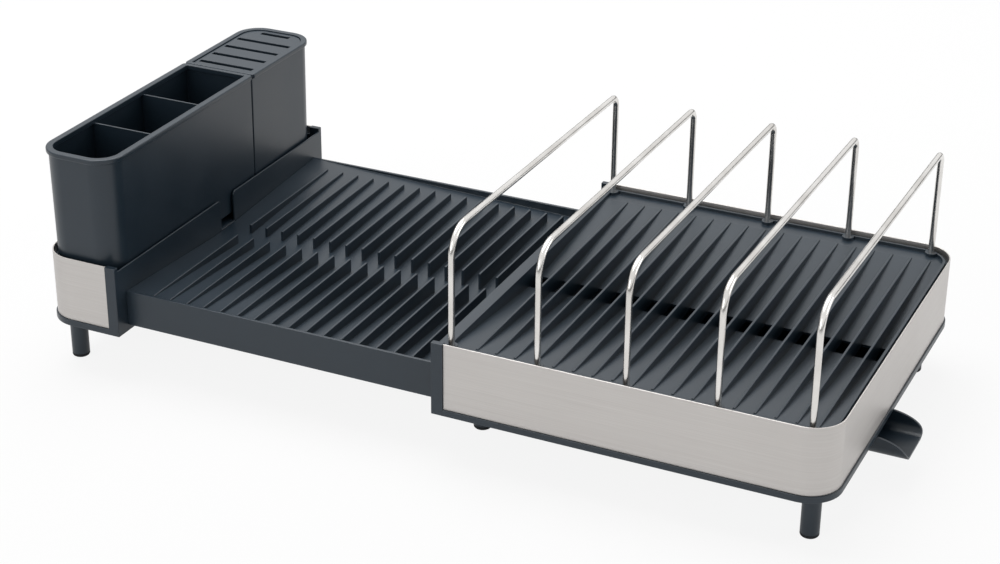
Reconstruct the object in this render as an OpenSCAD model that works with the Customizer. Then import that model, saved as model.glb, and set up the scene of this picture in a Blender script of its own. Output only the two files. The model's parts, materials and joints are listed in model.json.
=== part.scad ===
// Expandable dish rack: a main rack on four legs, an extension tray that slides under it,
// five wire hoops for plates, a cutlery holder, a knife block and a swivelling drain spout.
// X runs along the extension, towards the spout. Y runs from the front to the back. Z is up.
// The mouth of the main rack, where the extension slides in, is the x = 0 of every drawing here,
// and placed() moves the whole model so that its box is centred on the origin, feet at z = 0.

/* [Whole rack] */
// Depth over the steel faces, front to back
rack_depth = 320; // [300:1:340]
// Gap between the worktop and the underside of the lips
leg_height = 41; // [34:1:50]
// Height of the steel bands
band_height = 53.5; // [48:0.5:60]
// Thickness of the steel bands
band_thick = 1; // [0.7:0.1:1.4]
// Outer radius of the steel bands' corners
corner_radius = 25; // [18:1:34]
// Thickness of the moulded side walls
wall = 2.4; // [1.8:0.1:3]
// Width of the moulded posts that end the bands
post_width = 9.3; // [7:0.1:12]

/* [Lips and floors] */
// Height of the lip under the bands
lip_height = 5; // [4.5:0.5:8]
// How far the lips stand proud of the steel
lip_proud = 1.2; // [0.6:0.1:2]
// Thickness of the drip floor
floor_thick = 2.5; // [1.8:0.1:3]
// Height of the drip floor's underside above the lip's underside
floor_rise = 1; // [0.5:0.1:2]

/* [Main rack] */
// Length of the main rack over its steel
main_length = 302; // [290:1:320]
// Distance from the band's top edge down to the moulded wall's top
wall_drop = 6.5; // [5:0.5:8]
// Thickness of the bridge over the mouth
bridge_thick = 2.4; // [1.8:0.1:3]
// Length of each rest that carries the slatted rack
rest_length = 20; // [14:1:26]
// How far each rest reaches in from the wall
rest_reach = 4; // [3:0.5:5]
// Thickness of each rest
rest_thick = 3; // [2:0.5:4]

/* [Slatted rack] */
// Distance from the band's top edge down to the slatted rack's rim
rack_drop = 3; // [2:0.5:4]
// Height of the rim above the flange inside it
rim_rise = 2.5; // [1.5:0.5:3]
// Thickness of the rim
rim_thick = 2; // [1.5:0.1:2.6]
// Thickness of the sloping floors
slat_floor = 2; // [1.5:0.1:2.4]
// Distance from the mouth to the slatted rack's left edge
strip_inset = 2.6; // [2:0.1:4]
// Width of the flat strip along the left edge
strip_width = 9.1; // [8:0.1:11]
// Width of the drain slot between the two floors
slot_width = 21; // [16:1:26]
// Distance of the slot's middle in front of the rack's middle
slot_forward = 5.5; // [0:0.5:9]
// Fall of each floor from the flange to the slot
floor_fall = 12; // [8:0.5:13]
// Distance from the steel's front face to the ribs' front ends
rib_front_inset = 12.5; // [12.5:0.5:16]
// Distance from the steel's back face to the ribs' back ends
rib_back_inset = 20.5; // [14:0.5:26]

/* [Ribs] */
// Distance between ribs
rib_pitch = 15; // [14:0.5:16]
// Thickness of each rib
rib_thick = 2; // [1.5:0.1:2.5]
// Smallest distance from a row's last rib to the end behind it
rib_end = 5; // [4:0.5:8]
// Distance from the mouth to the slatted rack's first rib
first_rib = 30.5; // [30:0.5:34]
// Height of the ribs above the slatted rack's flange
rib_rise = 0.8; // [0.5:0.1:1.2]

/* [Hoops] */
// Number of hoops
hoop_count = 5; // [5:1:5]
// Diameter of the hoop wire
wire_d = 5; // [3:0.1:5]
// Distance from the mouth to the first hoop
first_hoop = 12.5; // [12.5:0.5:16]
// Distance from the main rack's right steel face to the last hoop
last_hoop = 19; // [18:0.5:30]
// Distance of the hoops' legs inside the steel faces
hoop_inset = 7.6; // [7.5:0.1:7.9]
// Height of the hoops' front corner above the band's top edge, at the wire's middle
hoop_front_rise = 86.5; // [70:0.5:110]
// Height of the hoops' back corner above the band's top edge, at the wire's middle
hoop_back_rise = 81.5; // [66:0.5:110]
// Bend radius at the front, at the wire's middle
hoop_front_bend = 21; // [12:1:30]
// Bend radius at the back, at the wire's middle
hoop_back_bend = 8; // [6:1:20]
// How far the wire thins at its bends, on its radius
bend_thinning = 0.02; // [0.01:0.01:0.05]
// Length of each bend's end inside the straight wire
bend_lap = 0.4; // [0.3:0.05:0.6]
// How deep the legs go into their sockets
socket_depth = 9.5; // [7:0.5:11]
// Thickness of a socket's wall around the wire
socket_wall = 2.2; // [1.8:0.1:2.4]
// Thickness of a socket's bottom
socket_bottom = 2; // [1:0.5:3]

/* [Extension] */
// How far the bay stands off the main rack when the extension is out
travel = 271; // [240:1:272]
// How far the tray stays inside the main rack when it is out
tray_overlap = 22; // [18:1:22]
// Distance from the steel faces to the tray's outer walls
tray_inset = 12; // [10.5:0.1:13]
// Distance from the band's top edge down to the tray's rim
tray_drop = 24; // [22.5:0.5:26]
// Fall of the tray's floor from its edges to the channel
tray_fall = 7; // [5:0.5:8]
// Fall of the tray's floor along the extension, towards the main rack
tray_slope_fall = 8; // [6:0.5:10]
// Thickness of the tray's floor
tray_floor = 2; // [1.5:0.1:2.4]
// Width of the channel between the two rows of ribs
channel_width = 21; // [16:1:26]
// Distance of the channel's middle in front of the tray's middle
channel_forward = 10.5; // [10:0.5:11]
// Distance from the bay's wall to the tray's first rib
tray_first_rib = 23; // [14:0.5:24]
// Distance from the tray's outer front wall to the front row's ends
tray_rib_front = 2.6; // [2.6:0.1:8]
// Distance from the tray's outer back wall to the back row's ends
tray_rib_back = 18.2; // [8:0.1:24]
// Length of each stop tab along the tray
tab_length = 5; // [3:0.5:8]
// Height of each stop tab
tab_height = 10; // [6:1:14]
// How far each stop tab stands out from the tray's wall
tab_reach = 4; // [3:0.5:5]
// Height of the stop tabs above the tray's underside
tab_rise = 4; // [2:0.5:8]

/* [Cutlery bay] */
// Length of the bay over its steel
bay_length = 70; // [68:1:80]
// Thickness of the wall between bay and tray
bay_wall = 1.6; // [1.4:0.1:2.2]
// Distance from the band's top edge down to that wall's top
bay_wall_drop = 3.5; // [2:0.5:6]
// Height of the bay's floor above the lip's underside
bay_floor_rise = 28.5; // [26:0.5:30]
// Width of the drain gap in that wall
gap_width = 20; // [16:1:32]
// Distance of the gap's middle behind the rack's middle
gap_back = 2.5; // [-4:0.5:6]
// Corner radius at the gap's top
gap_radius = 4; // [2:0.5:6]

/* [Cutlery holder] */
// Height of the holder's rim above the band's top edge
holder_rise = 86; // [70:0.5:100]
// Share of the bay's depth that the holder takes
holder_share = 0.667; // [0.5:0.01:0.72]
// Thickness of the holder's walls
holder_wall = 2.6; // [2:0.1:3]
// Number of compartments
compartments_count = 3; // [2:1:4]
// Thickness of the dividers
divider_thick = 1.6; // [1.2:0.1:2.2]
// Distance from the rim down to the dividers' tops
divider_drop = 3; // [2:0.5:8]
// Height of the bead round the rim
bead_height = 4; // [3:0.5:7]
// How far the bead stands proud of the walls
bead_proud = 1.6; // [1:0.1:2.6]
// How far the holder's rim reaches in over its walls
rim_inward = 1.4; // [0.2:0.1:2.4]
// Outer corner radius at the holder's rounded end
holder_radius = 20; // [16:1:26]
// Corner radius at the end beside the other box
seam_radius = 1.5; // [1:0.5:4]
// Gap between the two boxes over their rims
box_gap = 0.8; // [0.8:0.1:2]
// Gap between the boxes' walls and the bay's walls
box_clearance = 0.5; // [0.5:0.1:2]
// Height of the rails that the boxes stand on
rail_height = 5; // [4.5:0.5:6]
// Thickness of those rails
rail_thick = 3; // [2:0.5:5]

/* [Knife block] */
// Depth of the recess that holds the slotted plate
plate_recess = 1; // [0.6:0.1:1.5]
// Thickness of the slotted plate
plate_thick = 3; // [2:0.1:4]
// Width of the rim left round the plate
plate_margin = 5.2; // [3.8:0.1:6]
// Gap round the plate
plate_gap = 0.4; // [0.2:0.1:0.6]
// Width of the ledge that carries the plate
plate_ledge = 2; // [1.5:0.5:3]
// Number of full-length knife slots
slot_count = 4; // [2:1:4]
// Distance from the block's side walls to the ends of the full knife slots
slot_margin = 6.4; // [6:0.1:14]
// Length of the short slot at the back, as a share of the full ones
short_slot_share = 0.54; // [0.4:0.05:0.65]
// Width of the knife slots
knife_slot = 4.8; // [2.5:0.1:6]
// Distance from the rim's front edge to the first slot
first_slot = 12; // [10:0.5:14]
// Distance from the rim's back edge to the last slot
last_slot = 12; // [10:0.5:14]

/* [Legs] */
// Diameter of the legs
leg_d = 14; // [11:0.5:16]
// Distance of the legs' middles inside the steel's front and back faces
leg_inset = 26; // [22:1:34]
// Distance from the main rack's right steel face to its right legs
right_leg_inset = 20; // [16:1:26]
// Distance from the mouth to the main rack's left legs
left_leg_inset = 12; // [12:1:24]
// Distance of the left legs' middles inside the steel's front and back faces
left_leg_depth = 62; // [40:1:70]
// Distance from the bay's left steel face to its legs
bay_leg_inset = 12; // [12:1:24]
// Diameter of the stubs that carry the legs
stub_d = 8; // [6:0.5:10]
// Length of the stubs
stub_length = 14; // [8:1:18]
// Height of the rubber foot pads
pad_height = 3; // [2:0.5:5]
// Rounding of the pads' lower edge
pad_round = 2; // [1:0.5:2]

/* [Drain and spout] */
// Distance from the main rack's right steel face to the drain
drain_inset = 34; // [30:1:40]
// Distance of the drain in front of the rack's middle
drain_forward = 27; // [10:1:60]
// Diameter of the drain bush, outside
bush_d = 17.6; // [14:0.1:20]
// Thickness of the drain bush's tube
bush_wall = 2.2; // [1.5:0.1:3]
// Width of the bush's flange and of its snap ring
bush_flange = 3; // [2:0.5:4]
// Thickness of the bush's flange and of its snap ring
flange_thick = 1.2; // [0.8:0.1:1.6]
// Thickness of the seal between the floor and the spout
seal_thick = 1.8; // [1.7:0.1:2.4]
// Reach of the spout from the drain to its tip
spout_reach = 58; // [54:1:66]
// Width of the spout
spout_width = 46; // [40:1:54]
// Height of the spout
spout_height = 16.5; // [14:0.5:20]
// Thickness of the spout's walls
spout_wall = 2; // [1.5:0.1:2.6]
// Rounding of the spout's lower edges
spout_round = 9; // [5:0.5:10]
// Length of the spout's tip over which its sides come down
spout_taper = 30; // [24:1:36]
// Thickness of the spout's top plate
spout_plate = 2.6; // [2:0.1:3.4]

/* [Clearances] */
// Gap at the seats of pieces that lift out
seat_gap = 0.3; // [0.2:0.05:0.5]
// Gap beside the sliding tray and round the slatted rack
slide_gap = 0.4; // [0.3:0.05:0.6]
// Radial clearance of the spout on its bush
pivot_gap = 0.05; // [0.03:0.01:0.1]
// Radial clearance of the legs on their stubs and of the hoops in their sockets
plug_gap = 0.05; // [0.03:0.01:0.1]

/* [Hidden] */
$fn = 96;

// Overrun of every cut past the faces that it opens
over = 1;

slate = "#3d464d";
steel = "#c2bebb";
wire_steel = "#dcdad6";
rubber = "#1d2023";

// Levels
half = rack_depth / 2;
lip_z = leg_height;
band_z = lip_z + lip_height;
band_top = band_z + band_height;
shell_half = half - band_thick;
inner_half = shell_half - wall;
floor_z = lip_z + floor_rise;
floor_top = floor_z + floor_thick;
wall_top = band_top - wall_drop;

// Slatted rack
rack_top = band_top - rack_drop;
flange_z = rack_top - rim_rise;
flange_under = flange_z - slat_floor;
slot_z = flange_z - floor_fall;
slot_front = -slot_forward - slot_width / 2;
slot_back = slot_front + slot_width;
slot_under = slot_z - slat_floor;
rib_front_y = rib_front_inset - half;
rib_back_y = half - rib_back_inset;
rib_top = flange_z + rib_rise;
rack_half = inner_half - slide_gap;
rack_right = main_length - band_thick - wall - slide_gap;
rack_corner = corner_radius - band_thick - wall - slide_gap;
strip_right = strip_inset + strip_width;
rack_ribs_count = 1 + floor((rack_right - rim_thick - rib_end - first_rib) / rib_pitch);

// Hoops
wire_r = wire_d / 2;
hoop_pitch = (main_length - first_hoop - last_hoop) / (hoop_count - 1);
hoop_y = half - hoop_inset;
socket_z = rack_top - socket_depth;
socket_r = wire_r + socket_wall;

// Extension
tray_half = half - tray_inset;
tray_top = band_top - tray_drop;
tray_under = band_z + seat_gap + plug_gap;
tray_right = tray_overlap;
tray_ribs_count = 1 + floor((travel + tray_right - rib_end - tray_first_rib) / rib_pitch);
tray_slope = atan(tray_slope_fall / travel);
channel_y = -channel_forward;
channel_front = channel_y - channel_width / 2;
channel_back = channel_y + channel_width / 2;
bay_left = -travel - bay_length;
bay_wall_top = band_top - bay_wall_drop;
bay_floor_z = lip_z + bay_floor_rise;
bay_right = -travel;
tab_left = post_width + seat_gap;

// Boxes in the bay
rim_z = band_top + holder_rise;
rail_z = bay_floor_z + seat_gap;
box_floor_z = rail_z + rail_height;
box_left = bay_left + band_thick + wall + box_clearance;
box_right = bay_right - bay_wall - box_clearance;
box_front = box_clearance - inner_half;
block_back = inner_half - box_clearance;
holder_depth = holder_share * (block_back - box_front + 2 * bead_proud - box_gap);
holder_back = box_front + holder_depth - bead_proud;
block_front = holder_back + box_gap;
box_mid_x = (box_left + box_right) / 2;
plate_z = rim_z - plate_recess - plate_thick;
slot_length = box_right - box_left - 2 * slot_margin;
slot_pitch = (block_back + bead_proud - block_front - first_slot - last_slot) / slot_count;

// Legs
leg_r = leg_d / 2;
stub_r = stub_d / 2;
leg_y = half - leg_inset;
left_leg_y = half - left_leg_depth;
main_leg_places = [for (s = [-1, 1]) each [[main_length - right_leg_inset, s * leg_y],
    [left_leg_inset, s * left_leg_y]]];
bay_leg_places = [for (s = [-1, 1]) [bay_left + bay_leg_inset, s * leg_y]];

// Drain
drain_x = main_length - drain_inset;
drain_y = -drain_forward;
bush_r = bush_d / 2;
spout_top = floor_z - seat_gap - seal_thick;
spout_z = spout_top - spout_height;
spout_tip = drain_x + spout_reach;
snap_z = spout_top - spout_plate - seat_gap - flange_thick;

// Middle of the whole model's box along X
mid_x = (spout_tip + bay_left - lip_proud) / 2;

echo(mid_x = mid_x, bay_left = bay_left, spout_tip = spout_tip, rim_z = rim_z, hoop_y = hoop_y,
    drain = [drain_x, drain_y], box = [box_left, box_right, box_front, holder_back, block_front, block_back]);

module placed() {
    translate([-mid_x, 0, 0]) children();
}

// Shared shapes

// A rectangle that starts at x = 0, with its two far corners rounded
module round_end(length, half_width, r) {
    translate([0, -half_width]) square([length - r, 2 * half_width]);
    translate([0, r - half_width]) square([length, 2 * (half_width - r)]);
    for (s = [-1, 1]) translate([length - r, s * (half_width - r)]) circle(r);
}

// The outline of a module at a given distance inside the steel faces, open end at x = 0
module module_outline(length, inside) {
    round_end(length - inside, half - inside, corner_radius - inside);
}

// A ring that follows the module's outline, open at x = 0
module module_ring(length, outside, inside, z, height) {
    translate([0, 0, z]) linear_extrude(height) difference() {
        module_outline(length, outside);
        translate([-over, 0]) module_outline(length + over, inside);
    }
}

// Draws at the main rack's mouth, or turned round at the bay's
module at_bay() {
    translate([-travel, 0, 0]) mirror([1, 0, 0]) children();
}

module band(length) {
    translate([post_width, 0, band_z]) linear_extrude(band_height) difference() {
        module_outline(length - post_width, 0);
        translate([-over, 0]) module_outline(length - post_width + over, band_thick);
    }
}

// Lip, side walls and posts that the main rack and the bay share
module shell(length) {
    module_ring(length, -lip_proud, band_thick + wall, lip_z, lip_height);
    module_ring(length, band_thick, band_thick + wall, band_z, wall_top - band_z);
    for (s = [-1, 1]) scale([1, s, 1]) translate([0, inner_half, lip_z])
        cube([post_width, half + lip_proud - inner_half, band_top - lip_z]);
}

module leg(z_top) {
    difference() {
        translate([0, 0, pad_height]) cylinder(h = z_top - pad_height, r = leg_r);
        translate([0, 0, z_top - stub_length - seat_gap])
            cylinder(h = stub_length + seat_gap + over, r = stub_r + plug_gap);
    }
}

module foot_pad() {
    rotate_extrude() {
        square([leg_r - pad_round, pad_height]);
        translate([0, pad_round]) square([leg_r, pad_height - pad_round]);
        intersection() {
            translate([leg_r - pad_round, pad_round]) circle(pad_round);
            square([leg_r, pad_round]);
        }
    }
}

// Main rack

// Lip, walls and the frame round the mouth
module main_base() color(slate) placed() {
    shell(main_length);
    mouth_frame();
    rack_rests();
}

// Drip floor with the tray's runners, an upstand that keeps the water in, and the legs' stubs
module main_floor() color(slate) placed() difference() {
    union() {
        translate([0, 0, floor_z]) linear_extrude(floor_thick) difference() {
            module_outline(main_length, band_thick + wall);
            for (s = [-1, 1]) scale([1, s, 1]) translate([-over, tray_half + slide_gap])
                square([post_width + over, half]);
        }
        translate([0, -tray_half, floor_top]) cube([bridge_thick, 2 * tray_half, band_z - floor_top]);
        for (s = [-1, 1]) scale([1, s, 1]) translate([bridge_thick, tray_half - wall, floor_top])
            cube([main_length - corner_radius - bridge_thick, wall, band_z + plug_gap - floor_top]);
        for (p = main_leg_places) translate([p.x, p.y, floor_z - stub_length])
            cylinder(h = stub_length + floor_thick / 2, r = stub_r);
    }
    translate([drain_x, drain_y, floor_z - over])
        cylinder(h = floor_thick + 2 * over, r = bush_r + plug_gap);
}

// Thickens the posts up to the tray and joins them over the mouth, under the slatted rack's strip
module mouth_frame() {
    mouth_half = tray_half + slide_gap;
    mouth_top = tray_top + 2 * slide_gap;
    for (s = [-1, 1]) scale([1, s, 1]) translate([0, mouth_half, lip_z]) {
        cube([post_width, inner_half - mouth_half, socket_z - socket_bottom - seat_gap - lip_z]);
        // Beside the first hoop's socket the post is cut back
        cube([min(post_width, first_hoop - socket_r - seat_gap), inner_half - mouth_half,
            flange_under - seat_gap - lip_z]);
    }
    translate([0, -mouth_half, mouth_top])
        cube([bridge_thick, 2 * mouth_half, flange_z - seat_gap - mouth_top]);
}

// Short ledges between the hoop sockets
module rack_rests() {
    for (s = [-1, 1]) for (i = [0:hoop_count - 2])
        scale([1, s, 1]) translate([first_hoop + (i + 0.5) * hoop_pitch - rest_length / 2,
            inner_half - rest_reach, flange_under - seat_gap - rest_thick])
            cube([rest_length, rest_reach + wall / 2, rest_thick]);
}

module main_band() color(steel) placed() band(main_length);

module main_legs() color(slate) placed()
    for (p = main_leg_places) translate([p.x, p.y, 0]) leg(floor_z);

module main_foot_pads() color(rubber) placed()
    for (p = main_leg_places) translate([p.x, p.y, 0]) foot_pad();

// Drain

module drain_bush() color(slate) placed() translate([drain_x, drain_y, 0]) rotate_extrude() {
    translate([bush_r - bush_wall, snap_z]) square([bush_wall, floor_top + flange_thick - snap_z]);
    translate([bush_r - bush_wall, floor_top]) square([bush_wall + bush_flange, flange_thick]);
    translate([bush_r - bush_wall, snap_z]) square([bush_wall + bush_flange, flange_thick]);
}

// Flat seal between the floor and the spout
module spout_seal() color(rubber) placed() translate([drain_x, drain_y, floor_z - seal_thick])
    difference() {
        cylinder(h = seal_thick, r = bush_r + bush_flange);
        translate([0, 0, -over]) cylinder(h = seal_thick + 2 * over, r = bush_r + pivot_gap);
    }

// Cross-section of the spout at a given distance inside its outer faces: flat bottom, rounded edges
module spout_section(inside) {
    w = spout_width / 2 - inside;
    r = spout_round - inside;
    translate([-w, r + inside]) square([2 * w, spout_height - r - inside]);
    translate([r - w, inside]) square([2 * (w - r), r + over / 2]);
    for (s = [-1, 1]) translate([s * (w - r), r + inside]) circle(r);
}

// Solid trough with a round back end; inside = 0 is its outer form
module spout_form(inside) {
    r = spout_round - inside;
    w = spout_width / 2 - inside;
    translate([0, 0, spout_z]) {
        rotate([90, 0, 90]) linear_extrude(spout_reach + inside) intersection() {
            spout_section(inside);
            translate([-w, 0]) square([2 * w, spout_height]);
        }
        rotate_extrude() intersection() {
            spout_section(inside);
            square([w, spout_height]);
        }
    }
}

module spout() color(slate) placed() translate([drain_x, drain_y, 0]) difference() {
    union() {
        difference() {
            spout_form(0);
            spout_form(spout_wall);
        }
        // Top plate that hangs on the bush
        translate([0, 0, spout_top - spout_plate]) cylinder(h = spout_plate, r = spout_width / 2);
    }
    translate([0, 0, spout_top - spout_plate - over])
        cylinder(h = spout_plate + 2 * over, r = bush_r + pivot_gap);
    // The sides come down to the tip in a quarter of an ellipse
    translate([spout_reach - spout_taper, 0, spout_z + spout_wall]) difference() {
        translate([0, -spout_width, 0]) cube([spout_taper + over, 2 * spout_width, spout_height + over]);
        rotate([90, 0, 0]) scale([1, (spout_height - spout_wall) / spout_taper, 1])
            cylinder(h = 4 * spout_width, r = spout_taper, center = true);
    }
}

// Slatted rack

// The sloping floors seen from the right end, lifted by a given height above their undersides
function floor_line(lift) = [
    [-rack_half, flange_under + lift], [rib_front_y, flange_under + lift],
    [slot_front, slot_under + lift], [slot_back, slot_under + lift],
    [rib_back_y, flange_under + lift], [rack_half, flange_under + lift]];

// Everything between two lifts above the floors' undersides
module floor_slab(low, high, x, length) {
    translate([x, 0, 0]) rotate([90, 0, 90]) linear_extrude(length)
        polygon(concat(floor_line(low), [for (i = [5:-1:0]) floor_line(high)[i]]));
}

// The slatted rack's outline at a given distance inside its rim, run out past its left edge
module rack_outline(inside, past = 0) {
    translate([strip_inset - past, 0])
        round_end(rack_right - strip_inset - inside + past, rack_half - inside, rack_corner - inside);
}

module hoop_sockets() {
    for (s = [-1, 1]) for (i = [0:hoop_count - 1])
        translate([first_hoop + i * hoop_pitch, s * hoop_y, socket_z - socket_bottom])
            cylinder(h = rack_top - socket_z + socket_bottom, r = socket_r);
}

// Rim, flanges, left strip and hoop sockets
module rack_rim() color(slate) placed() difference() {
    union() {
        // Rim, which follows the sloping floors down at the right end
        intersection() {
            difference() {
                translate([0, 0, slot_z - 2 * slat_floor])
                    linear_extrude(rack_top - slot_z + 2 * slat_floor) rack_outline(0);
                translate([0, 0, slot_z - 3 * slat_floor])
                    linear_extrude(band_height) rack_outline(rim_thick, over);
            }
            floor_slab(0, rack_top - slot_z + slat_floor, 0, main_length);
            translate([0, -half, 0]) cube([main_length, rack_depth, rack_top]);
        }
        // Flanges at the front and back, and the sockets that hang from them
        intersection() {
            union() {
                translate([strip_right - rim_thick, -rack_half, flange_under])
                    cube([rack_right - strip_right, rib_front_y + rack_half, slat_floor]);
                translate([strip_right - rim_thick, rib_back_y, flange_under])
                    cube([rack_right - strip_right, rack_half - rib_back_y, slat_floor]);
                hoop_sockets();
            }
            linear_extrude(band_top) rack_outline(0);
        }
        // Flat strip along the left edge and its inner wall
        translate([strip_inset, -rack_half, flange_z])
            cube([strip_width, 2 * rack_half, rack_top - flange_z]);
        intersection() {
            translate([strip_right - rim_thick, -rack_half, 0]) cube([rim_thick, 2 * rack_half, rack_top]);
            floor_slab(0, rack_top - slot_z + slat_floor, 0, main_length);
        }
    }
    for (s = [-1, 1]) for (i = [0:hoop_count - 1])
        translate([first_hoop + i * hoop_pitch, s * hoop_y, socket_z])
            cylinder(h = socket_depth + over, r = wire_r + plug_gap);
}

// One sloping floor, from its flange's edge to the slot's edge
module rack_floor(y_flange, y_slot) color(slate) placed() intersection() {
    translate([strip_right, 0, 0]) rotate([90, 0, 90]) linear_extrude(rack_right) polygon([
        [y_flange, flange_under], [y_slot, slot_under], [y_slot, slot_z], [y_flange, flange_z]]);
    linear_extrude(band_top) rack_outline(rim_thick);
}

module rack_floor_front() rack_floor(rib_front_y, slot_front);
module rack_floor_back() rack_floor(rib_back_y, slot_back);

module rack_ribs() color(slate) placed() intersection() {
    for (i = [0:rack_ribs_count - 1])
        translate([first_rib + i * rib_pitch - rib_thick / 2, rib_front_y, 0])
            cube([rib_thick, rib_back_y - rib_front_y, rib_top]);
    rotate([90, 0, 90]) linear_extrude(main_length) polygon([
        [rib_front_y, flange_z], [slot_front, slot_z], [slot_front, slot_under], [slot_back, slot_under],
        [slot_back, slot_z], [rib_back_y, flange_z], [rib_back_y, band_top], [rib_front_y, band_top]]);
}

// Hoops

// One wire hoop in the YZ plane: two legs, a wide bend at the front, a tight one at the back
module hoop(i) {
    z_front = band_top + hoop_front_rise;
    z_back = band_top + hoop_back_rise;
    fall = atan((z_front - z_back) / (2 * hoop_y));
    front_turn = 90 + fall;
    back_turn = 90 - fall;
    front_cut = hoop_front_bend * tan(front_turn / 2);
    back_cut = hoop_back_bend * tan(back_turn / 2);
    top = norm([2 * hoop_y, z_front - z_back]);
    color(wire_steel) placed() translate([first_hoop + i * hoop_pitch, 0, 0]) {
        translate([0, -hoop_y, socket_z]) cylinder(h = z_front - front_cut - socket_z, r = wire_r);
        translate([0, hoop_y, socket_z]) cylinder(h = z_back - back_cut - socket_z, r = wire_r);
        translate([0, -hoop_y, z_front]) rotate([-90 - fall, 0, 0])
            translate([0, 0, front_cut]) cylinder(h = top - front_cut - back_cut, r = wire_r);
        translate([0, hoop_front_bend - hoop_y, z_front - front_cut]) rotate([90, 0, -90])
            wire_bend(hoop_front_bend, front_turn);
        translate([0, hoop_y - hoop_back_bend, z_back - back_cut]) rotate([90, 0, 90])
            wire_bend(hoop_back_bend, back_turn);
    }
}

// A bend whose ends run a little way inside the straight wire on both sides
module wire_bend(r, turn) {
    lap = bend_lap / r * 180 / PI;
    rotate(-lap) rotate_extrude(angle = turn + 2 * lap) translate([r, 0]) circle(wire_r - bend_thinning);
}

module hoop_1() hoop(0);
module hoop_2() hoop(1);
module hoop_3() hoop(2);
module hoop_4() hoop(3);
module hoop_5() hoop(4);

// Extension

// Lip, walls and posts, and the wall between bay and tray
module cutlery_bay() color(slate) placed() difference() {
    union() {
        at_bay() shell(bay_length);
        translate([bay_right - bay_wall, -inner_half, lip_z])
            cube([bay_wall, 2 * inner_half, bay_wall_top - lip_z]);
    }
    drain_gap();
}

// Floor that the two boxes stand on, with the stubs for the legs under it
module bay_floor() color(slate) placed() {
    z = bay_floor_z - tray_floor;
    at_bay() translate([bay_wall, 0, z]) linear_extrude(tray_floor)
        round_end(bay_length - bay_wall - band_thick - wall, inner_half, corner_radius - band_thick - wall);
    for (p = bay_leg_places) translate([p.x, p.y, z - stub_length])
        cylinder(h = stub_length + tray_floor / 2, r = stub_r);
}

// Opening with rounded shoulders through which the bay drains
module drain_gap() {
    w = gap_width / 2;
    translate([bay_right - bay_wall - over, gap_back, 0]) rotate([90, 0, 90])
        linear_extrude(bay_wall + 2 * over) difference() {
            translate([-w - gap_radius, bay_floor_z]) square([2 * (w + gap_radius), band_height]);
            for (s = [-1, 1]) scale([s, 1]) {
                translate([w, bay_floor_z - over])
                    square([2 * gap_radius, bay_wall_top - gap_radius - bay_floor_z + over]);
                translate([w + gap_radius, bay_wall_top - gap_radius]) circle(gap_radius);
            }
        }
}

module bay_band() color(steel) placed() at_bay() band(bay_length);

module bay_legs() color(slate) placed()
    for (p = bay_leg_places) translate([p.x, p.y, 0]) leg(bay_floor_z - tray_floor);

module bay_foot_pads() color(rubber) placed()
    for (p = bay_leg_places) translate([p.x, p.y, 0]) foot_pad();

// The tray's floor line seen from the right end, at the bay's wall, where its edges meet the rim
tray_line = [[-tray_half, tray_top], [channel_front, tray_top - tray_fall],
    [channel_back, tray_top - tray_fall], [tray_half, tray_top]];

// A prism along the tray whose section is given at the bay's wall, falling towards the main rack
module along_tray(points) {
    translate([bay_right, 0, tray_top]) rotate([0, tray_slope, 0]) translate([-over, 0, -tray_top])
        rotate([90, 0, 90]) linear_extrude(travel + 2 * tray_overlap) polygon(points);
}

module tray_block(z, height) {
    translate([bay_right, -tray_half, z]) cube([travel + tray_right, 2 * tray_half, height]);
}

module drain_tray() color(slate) placed() {
    intersection() {
        along_tray(concat([for (p = tray_line) p - [0, tray_floor]], [for (i = [3:-1:0]) tray_line[i]]));
        tray_block(tray_under, tray_top - tray_under);
    }
    for (s = [-1, 1]) scale([1, s, 1]) {
        translate([bay_right, tray_half - wall, tray_under])
            cube([travel + tray_right, wall, tray_top - tray_under]);
        // Stop tab that catches behind the post
        translate([tab_left, tray_half - wall / 2, tray_under + tab_rise])
            cube([tab_length, tab_reach + wall / 2, tab_height]);
    }
}

// One row of ribs between two places across the tray, standing on its floor
module tray_rib_row(y_from, y_to) {
    intersection() {
        for (i = [0:tray_ribs_count - 1])
            translate([bay_right + tray_first_rib + i * rib_pitch - rib_thick / 2, y_from, tray_under])
                cube([rib_thick, y_to - y_from, tray_top - tray_under]);
        along_tray(concat(tray_line, [[tray_half, 2 * band_top], [-tray_half, 2 * band_top]]));
    }
}

module tray_ribs_front() color(slate) placed()
    tray_rib_row(tray_rib_front - tray_half, channel_front);

module tray_ribs_back() color(slate) placed()
    tray_rib_row(channel_back, tray_half - tray_rib_back);

// Boxes in the bay

// Outline of a box: rounded corners at one end, small ones at the seam. side is -1 with the
// round end at the front and 1 with it at the back. The bead isn't proud of the wall at the seam
module box_outline(y_from, y_to, side, inside) {
    seam = max(inside, 0);
    x0 = box_left + inside;
    x1 = box_right - inside;
    y0 = y_from + (side < 0 ? inside : seam);
    y1 = y_to - (side < 0 ? seam : inside);
    big = holder_radius - inside;
    small = seam_radius - min(inside, seam_radius / 2);
    r0 = side < 0 ? big : small;
    r1 = side < 0 ? small : big;
    translate([x0, y0 + r0]) square([x1 - x0, y1 - y0 - r0 - r1]);
    translate([x0 + r0, y0]) square([x1 - x0 - 2 * r0, 2 * r0]);
    translate([x0 + r1, y1 - 2 * r1]) square([x1 - x0 - 2 * r1, 2 * r1]);
    for (x = [x0 + r0, x1 - r0]) translate([x, y0 + r0]) circle(r0);
    for (x = [x0 + r1, x1 - r1]) translate([x, y1 - r1]) circle(r1);
}

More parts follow.
